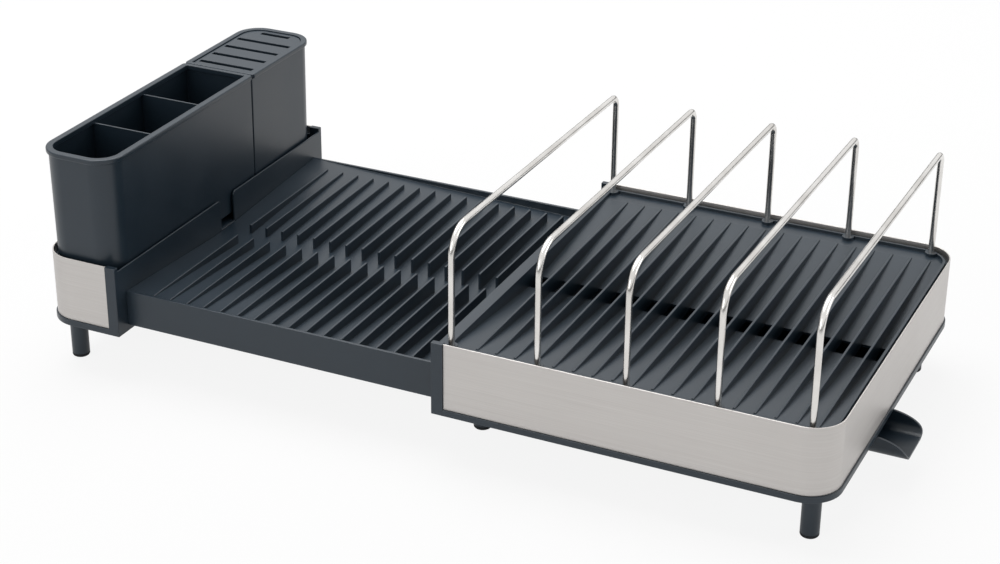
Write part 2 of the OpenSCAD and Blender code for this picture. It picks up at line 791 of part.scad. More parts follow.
module box_body(y_from, y_to, side) {
    translate([0, 0, box_floor_z]) linear_extrude(rim_z - box_floor_z) box_outline(y_from, y_to, side, 0);
    translate([0, 0, rim_z - bead_height]) linear_extrude(bead_height)
        box_outline(y_from, y_to, side, -bead_proud);
}

// Rails under a box, spread evenly between two places, that let the water out
module box_rails(y_from, y_to, count) {
    step = (y_to - y_from) / (count - 1);
    for (i = [0:count - 1])
        translate([box_left + holder_radius, y_from + i * step - rail_thick / 2, rail_z])
            cube([box_right - box_left - 2 * holder_radius, rail_thick, rail_height + holder_wall / 2]);
}

module cutlery_holder() color(slate) placed() {
    box_rails(box_front + holder_radius, holder_back - seam_radius - rail_thick, 3);
    difference() {
        box_body(box_front, holder_back, -1);
        translate([0, 0, box_floor_z + holder_wall])
            linear_extrude(rim_z - bead_height - box_floor_z - holder_wall)
                box_outline(box_front, holder_back, -1, holder_wall);
        translate([0, 0, box_floor_z + holder_wall]) linear_extrude(rim_z)
            box_outline(box_front, holder_back, -1, holder_wall + rim_inward);
    }
    // Dividers, sunk half a wall into the walls and the floor
    sunk = holder_wall / 2;
    step = (holder_back - box_front - 2 * sunk) / compartments_count;
    for (i = [1:compartments_count - 1])
        translate([box_left + sunk, box_front + sunk + i * step - divider_thick / 2, box_floor_z + sunk])
            cube([box_right - box_left - 2 * sunk, divider_thick, rim_z - divider_drop - box_floor_z - sunk]);
}

module knife_block() color(slate) placed() {
    box_rails(block_front + seam_radius + rail_thick, block_back - holder_radius, 2);
    difference() {
        box_body(block_front, block_back, 1);
        translate([0, 0, box_floor_z + holder_wall]) linear_extrude(rim_z)
            box_outline(block_front, block_back, 1, plate_margin - bead_proud + plate_ledge);
        translate([0, 0, plate_z]) linear_extrude(rim_z)
            box_outline(block_front, block_back, 1, plate_margin - bead_proud);
    }
}

module knife_plate() color(slate) placed() difference() {
    translate([0, 0, plate_z]) linear_extrude(plate_thick)
        box_outline(block_front, block_back, 1, plate_margin - bead_proud + plate_gap);
    for (i = [0:slot_count]) {
        length = i < slot_count ? slot_length : short_slot_share * slot_length;
        y = block_front + first_slot + i * slot_pitch;
        translate([box_mid_x - length / 2, y - knife_slot / 2, plate_z - over])
            cube([length, knife_slot, plate_thick + 2 * over]);
    }
}

main_base();
main_floor();
main_band();
main_legs();
main_foot_pads();
drain_bush();
spout_seal();
spout();
rack_rim();
rack_floor_front();
rack_floor_back();
rack_ribs();
hoop_1();
hoop_2();
hoop_3();
hoop_4();
hoop_5();
cutlery_bay();
bay_floor();
bay_band();
bay_legs();
bay_foot_pads();
drain_tray();
tray_ribs_front();
tray_ribs_back();
cutlery_holder();
knife_block();
knife_plate();
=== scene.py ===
"""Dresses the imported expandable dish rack: mouldings, steel bands, ribs, wire hoops and a studio.

Every length is in millimetres in the drawing frame of the rack, where the mouth of the main rack
is at x = 0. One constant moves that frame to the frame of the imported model.
"""

from __future__ import annotations

import json
import logging
import math
from collections.abc import Callable, Iterable, Sequence
from dataclasses import dataclass
from enum import Enum
from functools import partial

import bmesh
import bpy
from bmesh.types import BMEdge, BMesh
from bpy.types import GeometryNodeTree, Material, Mesh, Node, NodeSocket, NodeTree, Object
from mathutils import Matrix, Vector

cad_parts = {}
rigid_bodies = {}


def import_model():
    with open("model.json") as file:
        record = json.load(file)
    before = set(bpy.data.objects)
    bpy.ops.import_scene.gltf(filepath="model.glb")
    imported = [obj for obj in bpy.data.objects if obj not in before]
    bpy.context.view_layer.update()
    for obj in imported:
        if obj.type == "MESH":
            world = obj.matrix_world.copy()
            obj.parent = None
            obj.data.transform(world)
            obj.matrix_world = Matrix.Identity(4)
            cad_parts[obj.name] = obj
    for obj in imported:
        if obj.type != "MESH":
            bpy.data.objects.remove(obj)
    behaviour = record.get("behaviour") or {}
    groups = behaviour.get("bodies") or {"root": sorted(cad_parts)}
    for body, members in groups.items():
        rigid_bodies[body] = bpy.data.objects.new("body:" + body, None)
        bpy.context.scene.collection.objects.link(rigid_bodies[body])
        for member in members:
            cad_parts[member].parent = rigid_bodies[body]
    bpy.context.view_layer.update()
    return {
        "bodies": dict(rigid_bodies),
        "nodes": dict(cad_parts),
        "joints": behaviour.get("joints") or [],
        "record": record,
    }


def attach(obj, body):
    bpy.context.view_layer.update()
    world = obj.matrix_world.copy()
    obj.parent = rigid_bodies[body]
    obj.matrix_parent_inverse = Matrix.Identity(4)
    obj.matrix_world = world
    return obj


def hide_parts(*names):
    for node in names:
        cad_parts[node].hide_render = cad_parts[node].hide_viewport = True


log = logging.getLogger("dish_rack")

MM = 0.001
# How far the drawing frame's origin, the mouth of the main rack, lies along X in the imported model
MOUTH_X = 8.1
WHITE = (1.0, 1.0, 1.0, 1.0)

Sockets = bpy.types.bpy_prop_collection
Point2 = tuple[float, float]
Point3 = tuple[float, float, float]


class Body(Enum):
    """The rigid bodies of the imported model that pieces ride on."""

    MAIN = "main"
    SPOUT = "spout"
    RACK = "rack"
    EXTENSION = "extension"
    HOLDER = "holder"
    BLOCK = "block"


class Slot(Enum):
    """The record's material slots."""

    SLATE = "slate"
    STEEL = "steel"
    WIRE = "wire"
    RUBBER = "rubber"


# ---- nodes and finishes


def linear(colour: str) -> tuple[float, float, float, float]:
    """Turns an sRGB hex colour into linear values.

    Args:
        colour: six hex digits, with or without a leading #.

    Returns:
        Linear red, green and blue, and an alpha of 1.
    """
    digits = colour.lstrip("#")
    parts = [int(digits[i : i + 2], 16) / 255 for i in (0, 2, 4)]
    r, g, b = (c / 12.92 if c <= 0.04045 else ((c + 0.055) / 1.055) ** 2.4 for c in parts)
    return r, g, b, 1.0


def add_node(tree: NodeTree, kind: str, sockets: dict | None = None, **settings: object) -> Node:
    """Adds one node to a tree, sets it up and links it.

    Args:
        tree: the node tree.
        kind: the node's type name.
        sockets: input identifier, name or index, to a constant or to the output that feeds it.
        settings: the node's own properties.

    Returns:
        The new node.
    """
    node = tree.nodes.new(kind)
    for name, value in settings.items():
        setattr(node, name, value)
    by_identifier = {socket.identifier: socket for socket in node.inputs}
    for key, value in (sockets or {}).items():
        socket = by_identifier[key] if key in by_identifier else node.inputs[key]
        if isinstance(value, NodeSocket):
            tree.links.new(value, socket)
        else:
            socket.default_value = value
    return node


def per_metre(size_mm: float) -> float:
    """Returns the noise scale whose features are about the given size in millimetres."""
    return 1 / (size_mm * MM)


def new_material(name: str) -> tuple[Material, NodeTree]:
    """Makes an empty node material.

    Args:
        name: the material's name.

    Returns:
        The material and its tree.
    """
    material = bpy.data.materials.new(name)
    material.use_nodes = True
    material.node_tree.nodes.clear()
    return material, material.node_tree


AddNode = Callable[..., Node]

# Where most values of a noise texture lie
MIDDLE = {"From Min": 0.3, "From Max": 0.7}


@dataclass(frozen=True)
class Finish:
    """A finish whose pattern, read from Object coordinates, mixes two close colours."""

    name: str
    dark: str
    pale: str

    def build(self) -> Material:
        """Builds the node material.

        Returns:
            The finished material.
        """
        material, tree = new_material(self.name)
        add = partial(add_node, tree)
        share, sockets = self.pattern(add, add("ShaderNodeTexCoord").outputs["Object"])
        tint = add(
            "ShaderNodeMix",
            {"Factor_Float": share, "A_Color": linear(self.dark), "B_Color": linear(self.pale)},
            data_type="RGBA",
        )
        colour = next(s for s in tint.outputs if s.type == "RGBA")
        shader = add("ShaderNodeBsdfPrincipled", {"Base Color": colour, **sockets})
        add("ShaderNodeOutputMaterial", {"Surface": shader.outputs["BSDF"]})
        return material

    def pattern(self, add: AddNode, spot: NodeSocket) -> tuple[NodeSocket, dict]:
        """Adds the finish's own nodes.

        Args:
            add: adds a node to the tree.
            spot: the place on the object.

        Returns:
            The share of the pale colour, and the shader's other sockets.
        """
        raise NotImplementedError


@dataclass(frozen=True)
class MouldedPlastic(Finish):
    """Polypropylene from a spark-eroded mould: a fine even grain that spreads the light.

    The grain gives matt faces with a soft sheen at a low angle, so that tops look pale and the
    faces turned from the light look nearly black.
    """

    roughness: float = 0.34
    specular: float = 0.5
    ior: float = 1.49
    # Real grain is about 0.15 mm; it is drawn at 0.7 mm, which is as fine as a render shows
    grain_mm: float = 0.7
    grain_depth_mm: float = 0.05
    flow_mm: float = 55.0

    def pattern(self, add: AddNode, spot: NodeSocket) -> tuple[NodeSocket, dict]:
        """Adds slow clouds where the melt flowed, and the fine grain over them.

        Args:
            add: adds a node to the tree.
            spot: the place on the object.

        Returns:
            The share of the pale colour, and the shader's other sockets.
        """
        flow = add(
            "ShaderNodeTexNoise",
            {"Vector": spot, "Scale": per_metre(self.flow_mm), "Detail": 3.0, "Roughness": 0.55},
        ).outputs["Fac"]
        grain = add(
            "ShaderNodeTexNoise",
            {"Vector": spot, "Scale": per_metre(self.grain_mm), "Detail": 2.0, "Roughness": 0.6},
        ).outputs["Fac"]
        cloud = add("ShaderNodeMapRange", {"Value": flow, **MIDDLE, "To Max": 0.7}).outputs["Result"]
        speck = add("ShaderNodeMapRange", {"Value": grain, **MIDDLE, "To Max": 0.3}).outputs["Result"]
        share = add("ShaderNodeMath", {0: cloud, 1: speck}, operation="ADD").outputs[0]
        gloss = {"To Min": self.roughness - 0.03, "To Max": self.roughness + 0.05}
        rough = add("ShaderNodeMapRange", {"Value": flow, **MIDDLE, **gloss}).outputs["Result"]
        bump = add(
            "ShaderNodeBump", {"Height": grain, "Strength": 0.35, "Distance": self.grain_depth_mm * MM}
        ).outputs["Normal"]
        plain = {"IOR": self.ior, "Specular IOR Level": self.specular}
        return share, {"Roughness": rough, "Normal": bump, **plain}


@dataclass(frozen=True)
class BrushedSteel(Finish):
    """Stainless strip, brushed along its length with a fine belt: long faint lines, a satin gloss."""

    roughness: float = 0.4
    # Belt lines are about 0.05 mm apart; they are drawn at 0.45 mm so that they show
    line_mm: float = 0.45
    line_length_mm: float = 90.0
    line_depth_mm: float = 0.012
    wave_mm: float = 70.0

    def pattern(self, add: AddNode, spot: NodeSocket) -> tuple[NodeSocket, dict]:
        """Adds the lines, which run level round the band: fine along Z, stretched along X and Y.

        Args:
            add: adds a node to the tree.
            spot: the place on the object.

        Returns:
            The share of the pale colour, and the shader's other sockets.
        """
        stretch = self.line_mm / self.line_length_mm
        along = add("ShaderNodeMapping", {"Vector": spot, "Scale": (stretch, stretch, 1.0)}).outputs["Vector"]
        lines = add(
            "ShaderNodeTexNoise",
            {"Vector": along, "Scale": per_metre(self.line_mm), "Detail": 3.0, "Roughness": 0.7},
        ).outputs["Fac"]
        wave = add(
            "ShaderNodeTexNoise", {"Vector": spot, "Scale": per_metre(self.wave_mm), "Detail": 1.0}
        ).outputs["Fac"]
        share = add(
            "ShaderNodeMapRange", {"Value": lines, "From Min": 0.25, "From Max": 0.75}
        ).outputs["Result"]
        gloss = {"To Min": self.roughness - 0.03, "To Max": self.roughness + 0.03}
        soft = add("ShaderNodeMapRange", {"Value": wave, **MIDDLE, **gloss}).outputs["Result"]
        rough = add("ShaderNodeMath", {0: lines, 1: 0.08, 2: soft}, operation="MULTIPLY_ADD").outputs[0]
        bump = add(
            "ShaderNodeBump", {"Height": lines, "Strength": 0.5, "Distance": self.line_depth_mm * MM}
        ).outputs["Normal"]
        return share, {"Metallic": 1.0, "Roughness": rough, "Normal": bump}


@dataclass(frozen=True)
class DrawnWire(Finish):
    """Electropolished stainless wire: a clear gloss, faintly rippled where it was drawn and bent."""

    roughness: float = 0.2
    ripple_mm: float = 28.0

    def pattern(self, add: AddNode, spot: NodeSocket) -> tuple[NodeSocket, dict]:
        """Adds the slow ripple of the tint and the gloss.

        Args:
            add: adds a node to the tree.
            spot: the place on the object.

        Returns:
            The share of the pale colour, and the shader's other sockets.
        """
        ripple = add(
            "ShaderNodeTexNoise", {"Vector": spot, "Scale": per_metre(self.ripple_mm), "Detail": 2.0}
        ).outputs["Fac"]
        share = add(
            "ShaderNodeMapRange", {"Value": ripple, "From Min": 0.35, "From Max": 0.65}
        ).outputs["Result"]
        gloss = {"To Min": self.roughness, "To Max": self.roughness + 0.04}
        rough = add("ShaderNodeMapRange", {"Value": ripple, **MIDDLE, **gloss}).outputs["Result"]
        return share, {"Metallic": 1.0, "Roughness": rough}


@dataclass(frozen=True)
class SoftRubber(Finish):
    """Moulded thermoplastic rubber: dull and close to black, with a dusty surface."""

    roughness: float = 0.75
    specular: float = 0.3
    # Real grain is finer; it is drawn at 0.6 mm so that it shows
    grain_mm: float = 0.6
    grain_depth_mm: float = 0.04

    def pattern(self, add: AddNode, spot: NodeSocket) -> tuple[NodeSocket, dict]:
        """Adds the grain, whose pale specks are the dust.

        Args:
            add: adds a node to the tree.
            spot: the place on the object.

        Returns:
            The share of the pale colour, and the shader's other sockets.
        """
        grain = add(
            "ShaderNodeTexNoise", {"Vector": spot, "Scale": per_metre(self.grain_mm), "Detail": 3.0}
        ).outputs["Fac"]
        bump = add(
            "ShaderNodeBump", {"Height": grain, "Strength": 0.4, "Distance": self.grain_depth_mm * MM}
        ).outputs["Normal"]
        return grain, {"Roughness": self.roughness, "Normal": bump, "Specular IOR Level": self.specular}


class Finishes:
    """The rack's materials, each built once."""

    def __init__(self) -> None:
        """Builds every finish."""
        self.slate = MouldedPlastic("slate_polypropylene_moulded", "#1c2832", "#212d37").build()
        self.steel = BrushedSteel("stainless_steel_brushed", "#bab6b3", "#c8c5c2").build()
        self.wire = DrawnWire("stainless_wire_polished", "#d3d0cc", "#e4e2df").build()
        self.rubber = SoftRubber("rubber_moulded", "#191b1d", "#25282b").build()

    def of(self, slot: Slot) -> Material:
        """Returns the material for a record slot, whose value is the finish's name here."""
        return getattr(self, slot.value)


# ---- meshes


# Roundings: faces across each, the smallest angle that counts as an edge, and how they get narrower
ROUNDING_FACES = 2
EDGE_DEG = 38.0
NARROWEST_MM = 0.08
NARROWER = 0.8
# Faces that turn less than this from each other are one flat face
FLAT_DEG = 0.4
# Edges sharper than this stay sharp in the shading
SHARP_DEG = 42.0
# Rounding along the top of a rib
RIB_ROUNDING_MM = 0.6
# A face whose triangles cover more than this share of it crosses itself
COVER = 1.02


def place(x: float, y: float, z: float) -> Vector:
    """Returns a point of the drawing frame, in millimetres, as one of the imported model, in metres."""
    return Vector(((x + MOUTH_X) * MM, y * MM, z * MM))


def mesh_object(name: str, mesh: Mesh) -> Object:
    """Puts a mesh into the scene under a name, at the origin."""
    thing = bpy.data.objects.new(name, mesh)
    bpy.context.scene.collection.objects.link(thing)
    return thing


def object_from(name: str, bm: BMesh) -> Object:
    """Turns a working mesh into an object with outward faces.

    Args:
        name: the object's name.
        bm: the working mesh, which is freed.

    Returns:
        The new object.
    """
    bmesh.ops.remove_doubles(bm, verts=bm.verts, dist=1e-6)
    bmesh.ops.recalc_face_normals(bm, faces=bm.faces)
    mesh = bpy.data.meshes.new(name)
    bm.to_mesh(mesh)
    bm.free()
    return mesh_object(name, mesh)


def bake(thing: Object) -> None:
    """Applies an object's modifiers to its mesh and removes them.

    Args:
        thing: the object.
    """
    bpy.context.view_layer.update()
    graph = bpy.context.evaluated_depsgraph_get()
    result = bpy.data.meshes.new_from_object(thing.evaluated_get(graph), depsgraph=graph)
    thing.modifiers.clear()
    thing.data = result


def soften(thing: Object, edge_mm: float) -> None:
    """Rounds the sharp edges of a piece and shades it so that its flat faces stay flat.

    Where roundings would cross, on a big face with holes, they are tried narrower.

    Args:
        thing: the piece.
        edge_mm: width of the rounding.
    """
    sharp = thing.data
    low, high = box_of(sharp)
    while edge_mm > NARROWEST_MM:
        bevel = thing.modifiers.new("edges", "BEVEL")
        bevel.width = edge_mm * MM
        bevel.segments = ROUNDING_FACES
        bevel.limit_method = "ANGLE"
        bevel.angle_limit = math.radians(EDGE_DEG)
        bevel.use_clamp_overlap = False
        bevel.miter_outer = "MITER_ARC"
        bake(thing)
        hold_inside(thing.data, low, high)
        if not folded(thing.data):
            break
        log.info("%s: roundings of %.2f mm cross, so they get narrower", thing.name, edge_mm)
        thing.data = sharp
        edge_mm *= NARROWER
    shade(thing)


def box_of(mesh: Mesh) -> tuple[Vector, Vector]:
    """Returns a mesh's lowest and highest corner."""
    points = [v.co for v in mesh.vertices]
    return tuple(Vector(pick(p[k] for p in points) for k in range(3)) for pick in (min, max))


def folded(mesh: Mesh) -> bool:
    """Tells whether a face crosses itself, so that its triangles cover more than the face.

    Args:
        mesh: the rounded mesh.

    Returns:
        True where one does.
    """
    mesh.calc_loop_triangles()
    covered = [0.0] * len(mesh.polygons)
    for triangle in mesh.loop_triangles:
        covered[triangle.polygon_index] += triangle.area
    wide = ((c, f.area) for c, f in zip(covered, mesh.polygons) if len(f.vertices) > 4)
    return any(cover > COVER * area + 1e-8 for cover, area in wide)


def hold_inside(mesh: Mesh, low: Vector, high: Vector) -> None:
    """Moves the few points that a rounding's mitres throw past a box back onto its faces.

    Args:
        mesh: the rounded mesh.
        low: the box's lowest corner.
        high: the box's highest corner.
    """
    bm = bmesh.new()
    bm.from_mesh(mesh)
    for vert in bm.verts:
        vert.co = Vector(min(max(c, a), b) for c, a, b in zip(vert.co, low, high))
    bmesh.ops.dissolve_degenerate(bm, dist=1e-6, edges=bm.edges)
    bm.to_mesh(mesh)
    bm.free()


def shade(thing: Object) -> None:
    """Shades a piece smooth up to an angle, with its big faces kept flat.

    Args:
        thing: the piece.
    """
    mesh = thing.data
    for face in mesh.polygons:
        face.use_smooth = True
    mesh.set_sharp_from_angle(angle=math.radians(SHARP_DEG))
    weigh = thing.modifiers.new("flats", "WEIGHTED_NORMAL")
    weigh.keep_sharp = True
    weigh.weight = 60
    bake(thing)


@dataclass
class Builder:
    """Makes pieces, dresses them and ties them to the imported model."""

    frame: dict
    finishes: Finishes

    def settle(self, thing: Object, body: Body, slot: Slot, nodes: Iterable[str]) -> None:
        """Gives a finished piece the material of its slot and its body, and hides the CAD nodes that it
        stands for.

        Args:
            thing: the piece.
            body: the body that it rides on.
            slot: the record's slot of its finish.
            nodes: CAD nodes that it replaces.
        """
        thing.data.materials.clear()
        thing.data.materials.append(self.finishes.of(slot))
        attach(thing, body.value)
        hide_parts(*nodes)
        log.info("%s rides on %s: %d faces", thing.name, body.value, len(thing.data.polygons))

    def grow(
        self,
        thing: Object,
        tree: GeometryNodeTree,
        values: dict[str, object],
        body: Body,
        slot: Slot,
        nodes: Iterable[str],
    ) -> None:
        """Runs a geometry node tree on a piece, then shades and settles it.

        Args:
            thing: the piece, as the tree takes it.
            tree: the tree.
            values: the value of each named input, without its finish.
            body: the body that it rides on.
            slot: the record's slot of its finish.
            nodes: CAD nodes that it replaces.
        """
        run_tree(thing, tree, {**values, "Finish": self.finishes.of(slot)})
        shade(thing)
        self.settle(thing, body, slot, nodes)

    def copy_of(self, node: str, cuts: Sequence[float] = ()) -> BMesh:
        """Copies a CAD node's mesh with its loose triangles joined into flat faces.

        Args:
            node: the CAD node's name.
            cuts: places along X, through its holes, where the flat faces stay parted, so that no
                face runs round a hole and its rounding can't fold over.

        Returns:
            The working mesh.
        """
        bm = bmesh.new()
        bm.from_mesh(self.frame["nodes"][node].data)
        for layers in (bm.loops.layers.uv, bm.loops.layers.float_vector):
            for layer in list(layers.values()):
                layers.remove(layer)
        bmesh.ops.remove_doubles(bm, verts=bm.verts, dist=2e-6)
        for x in cuts:
            everything = bm.verts[:] + bm.edges[:] + bm.faces[:]
            made = bmesh.ops.bisect_plane(
                bm, geom=everything, dist=1e-7, plane_co=place(x, 0, 0), plane_no=Vector((1, 0, 0))
            )
            for part in made["geom_cut"]:
                if isinstance(part, BMEdge):
                    part.seam = True
        bmesh.ops.dissolve_limit(
            bm, angle_limit=math.radians(FLAT_DEG), verts=bm.verts, edges=bm.edges, delimit={"SEAM"}
        )
        return bm

    def moulding(
        self,
        node: str,
        name: str,
        body: Body,
        slot: Slot,
        edge_mm: float,
        cuts: Sequence[float] = (),
    ) -> None:
        """Copies a CAD node, which the copy replaces, and rounds its edges as a mould or press does.

        Args:
            node: the CAD node.
            name: the piece's name.
            body: the body that it rides on.
            slot: its finish.
            edge_mm: width of the rounding.
            cuts: places along X where its flat faces stay parted.
        """
        bm = self.copy_of(node, cuts)
        mesh = bpy.data.meshes.new(name)
        bm.to_mesh(mesh)
        bm.free()
        thing = mesh_object(name, mesh)
        soften(thing, edge_mm)
        self.settle(thing, body, slot, [node])


def loft(bm: BMesh, rings: Sequence[Sequence[Vector]]) -> None:
    """Joins rings of equally many points into a skin, with a face over the first and the last.

    Args:
        bm: the working mesh.
        rings: the rings, in order along the surface.
    """
    verts = [[bm.verts.new(p) for p in ring] for ring in rings]
    count = len(verts[0])
    for low, high in zip(verts, verts[1:]):
        for i in range(count):
            j = (i + 1) % count
            bm.faces.new((low[i], low[j], high[j], high[i]))
    bm.faces.new(list(reversed(verts[0])))
    bm.faces.new(verts[-1])


def arc(cx: float, cy: float, r: float, start: float, end: float, steps: int) -> list[Point2]:
    """Returns points of an arc, from one angle to another in degrees."""
    turns = [math.radians(start + (end - start) * i / steps) for i in range(steps + 1)]
    return [(cx + r * math.cos(a), cy + r * math.sin(a)) for a in turns]


def rounded_bar(bm: BMesh, low: Point3, high: Point3, edge_mm: float) -> None:
    """Adds a bar between two corners of the drawing frame, with all its edges rounded.

    Args:
        bm: the working mesh.
        low: lowest corner.
        high: highest corner.
        edge_mm: width of the rounding.
    """
    a, b = place(*low), place(*high)
    made = bmesh.ops.create_cube(bm, size=1.0)["verts"]
    for v in made:
        v.co = Vector(tuple(a[k] + (b[k] - a[k]) * (v.co[k] + 0.5) for k in range(3)))
    edges = list(dict.fromkeys(e for v in made for e in v.link_edges))
    round_edges(bm, edges, edge_mm, 2)


def round_edges(bm: BMesh, edges: list[BMEdge], edge_mm: float, faces: int) -> None:
    """Rounds some edges of a working mesh.

    Args:
        bm: the working mesh.
        edges: its edges to round.
        edge_mm: width of the rounding.
        faces: how many faces it has across.
    """
    bmesh.ops.bevel(
        bm,
        geom=edges,
        offset=edge_mm * MM,
        offset_type="OFFSET",
        segments=faces,
        profile=0.5,
        affect="EDGES",
    )


# ---- geometry node trees


def new_geometry_tree(name: str, inputs: Sequence[tuple[str, str, object]]) -> GeometryNodeTree:
    """Makes a geometry node tree with a geometry in and out, and named inputs.

    Args:
        name: the tree's name.
        inputs: name, socket type and default value of each further input.

    Returns:
        The tree.
    """
    tree = bpy.data.node_groups.new(name, "GeometryNodeTree")
    tree.interface.new_socket("Geometry", in_out="INPUT", socket_type="NodeSocketGeometry")
    for label, kind, value in inputs:
        socket = tree.interface.new_socket(label, in_out="INPUT", socket_type=kind)
        if value is not None:
            socket.default_value = value
    tree.interface.new_socket("Geometry", in_out="OUTPUT", socket_type="NodeSocketGeometry")
    return tree


def run_tree(thing: Object, tree: GeometryNodeTree, values: dict[str, object]) -> None:
    """Runs a geometry node tree on a piece and keeps the result as its mesh.

    Args:
        thing: the piece.
        tree: the tree.
        values: the value of each named input.
    """
    modifier = thing.modifiers.new(tree.name, "NODES")
    modifier.node_group = tree
    inputs = (s for s in tree.interface.items_tree if getattr(s, "in_out", "") == "INPUT")
    identifiers = {s.name: s.identifier for s in inputs}
    for label, value in values.items():
        modifier[identifiers[label]] = value
    bake(thing)


def rib_row_tree() -> GeometryNodeTree:
    """Builds the tree that repeats one rib along X and lets its foot follow a sloping floor.

    Returns:
        The tree, with inputs Pitch, Count, Fall per Metre, Foot Level, First Rib and Finish.
    """
    tree = new_geometry_tree(
        "rib_row",
        [
            ("Pitch", "NodeSocketFloat", 15 * MM),
            ("Count", "NodeSocketInt", 18),
            ("Fall per Metre", "NodeSocketFloat", 0.0),
            ("Foot Level", "NodeSocketFloat", 0.0),
            ("First Rib", "NodeSocketFloat", 0.0),
            ("Finish", "NodeSocketMaterial", None),
        ],
    )
    add = partial(add_node, tree)
    given = add("NodeGroupInput").outputs
    solid = row_of(add, given, given["Geometry"])
    spot = add("ShaderNodeSeparateXYZ", {0: add("GeometryNodeInputPosition").outputs[0]}).outputs
    foot = add(
        "FunctionNodeCompare",
        {0: spot["Z"], 1: given["Foot Level"]},
        data_type="FLOAT",
        operation="LESS_THAN",
    ).outputs["Result"]
    run = add("ShaderNodeMath", {0: spot["X"], 1: given["First Rib"]}, operation="SUBTRACT").outputs[0]
    fall = add("ShaderNodeMath", {0: run, 1: given["Fall per Metre"]}, operation="MULTIPLY").outputs[0]
    down = add("ShaderNodeMath", {0: fall, 1: -1.0}, operation="MULTIPLY").outputs[0]
    shift = add("ShaderNodeCombineXYZ", {"Z": down}).outputs[0]
    moved = add("GeometryNodeSetPosition", {"Geometry": solid, "Selection": foot, "Offset": shift})
    finish_tree(add, given, moved.outputs["Geometry"])
    return tree


def row_of(add: AddNode, given: Sockets, piece: NodeSocket) -> NodeSocket:
    """Adds the nodes that repeat a piece along X and make the copies real.

    Args:
        add: adds a node to the tree.
        given: the tree's inputs, with Pitch and Count among them.
        piece: the geometry to repeat.

    Returns:
        The row's geometry.
    """
    step = add("ShaderNodeCombineXYZ", {"X": given["Pitch"]}).outputs[0]
    line = add("GeometryNodeMeshLine", {"Count": given["Count"], "Offset": step}, mode="OFFSET").outputs[0]
    row = add("GeometryNodeInstanceOnPoints", {"Points": line, "Instance": piece}).outputs["Instances"]
    return add("GeometryNodeRealizeInstances", {"Geometry": row}).outputs["Geometry"]


def finish_tree(add: AddNode, given: Sockets, geometry: NodeSocket) -> None:
    """Ends a tree with its Finish input on the geometry."""
    done = add("GeometryNodeSetMaterial", {"Geometry": geometry, "Material": given["Finish"]})
    add("NodeGroupOutput", {0: done.outputs["Geometry"]})


def wire_tree() -> GeometryNodeTree:
    """Builds the tree that bends a wire through corner points, and repeats it along X.

    Returns:
        The tree, with inputs Wire Radius, Front Bend, Back Bend, Sides, Bend Steps, Pitch, Count
        and Finish.
    """
    tree = new_geometry_tree(
        "wire_hoops",
        [
            ("Wire Radius", "NodeSocketFloat", 2 * MM),
            ("Front Bend", "NodeSocketFloat", 20 * MM),
            ("Back Bend", "NodeSocketFloat", 8 * MM),
            ("Sides", "NodeSocketInt", 24),
            ("Bend Steps", "NodeSocketInt", 14),
            ("Pitch", "NodeSocketFloat", 67 * MM),
            ("Count", "NodeSocketInt", 5),
            ("Finish", "NodeSocketMaterial", None),
        ],
    )
    add = partial(add_node, tree)
    given = add("NodeGroupInput").outputs
    path = add("GeometryNodeMeshToCurve", {"Mesh": given["Geometry"]}).outputs[0]
    # The path's second point is its front corner
    index = add("GeometryNodeInputIndex").outputs[0]
    front = add("FunctionNodeCompare", {2: index, 3: 1}, data_type="INT", operation="EQUAL").outputs["Result"]
    radius = add(
        "GeometryNodeSwitch", {0: front, 1: given["Back Bend"], 2: given["Front Bend"]}, input_type="FLOAT"
    ).outputs[0]
    bend = {"Curve": path, "Radius": radius, "Count": given["Bend Steps"]}
    bent = add("GeometryNodeFilletCurve", bend, mode="POLY").outputs[0]
    ring = add(
        "GeometryNodeCurvePrimitiveCircle", {"Resolution": given["Sides"], "Radius": given["Wire Radius"]}
    ).outputs["Curve"]
    wire = add("GeometryNodeCurveToMesh", {"Curve": bent, "Profile Curve": ring, "Fill Caps": True})
    finish_tree(add, given, row_of(add, given, wire.outputs[0]))
    return tree


# ---- sub-assemblies


@dataclass
class MainRack:
    """The part that stays put: base, drip floor, steel band, legs and drain bush."""

    builder: Builder
    # Widths of the roundings
    edge: float = 0.5
    fine_edge: float = 0.3
    ring_edge: float = 0.2
    # Middle of the drain
    drain_x: float = 268.0

    def build(self) -> None:
        """Builds and dresses the main rack."""
        make = self.builder.moulding
        make("main_base", "main_rack_base", Body.MAIN, Slot.SLATE, self.edge)
        cuts = [self.drain_x]
        make("main_floor", "main_rack_drip_floor", Body.MAIN, Slot.SLATE, self.fine_edge, cuts)
        make("main_band", "main_rack_steel_band", Body.MAIN, Slot.STEEL, self.fine_edge)
        make("main_legs", "main_rack_legs", Body.MAIN, Slot.SLATE, self.fine_edge)
        make("main_foot_pads", "main_rack_foot_pads", Body.MAIN, Slot.RUBBER, 0.0)
        make("drain_bush", "drain_bush_ring", Body.MAIN, Slot.SLATE, self.ring_edge)
        make("spout_seal", "drain_seal", Body.MAIN, Slot.RUBBER, self.ring_edge)


@dataclass
class DrainSpout:
    """The trough that swivels under the drain."""

    builder: Builder
    edge: float = 0.5

    def build(self) -> None:
        """Builds and dresses the spout."""
        self.builder.moulding("spout", "drain_spout", Body.SPOUT, Slot.SLATE, self.edge)


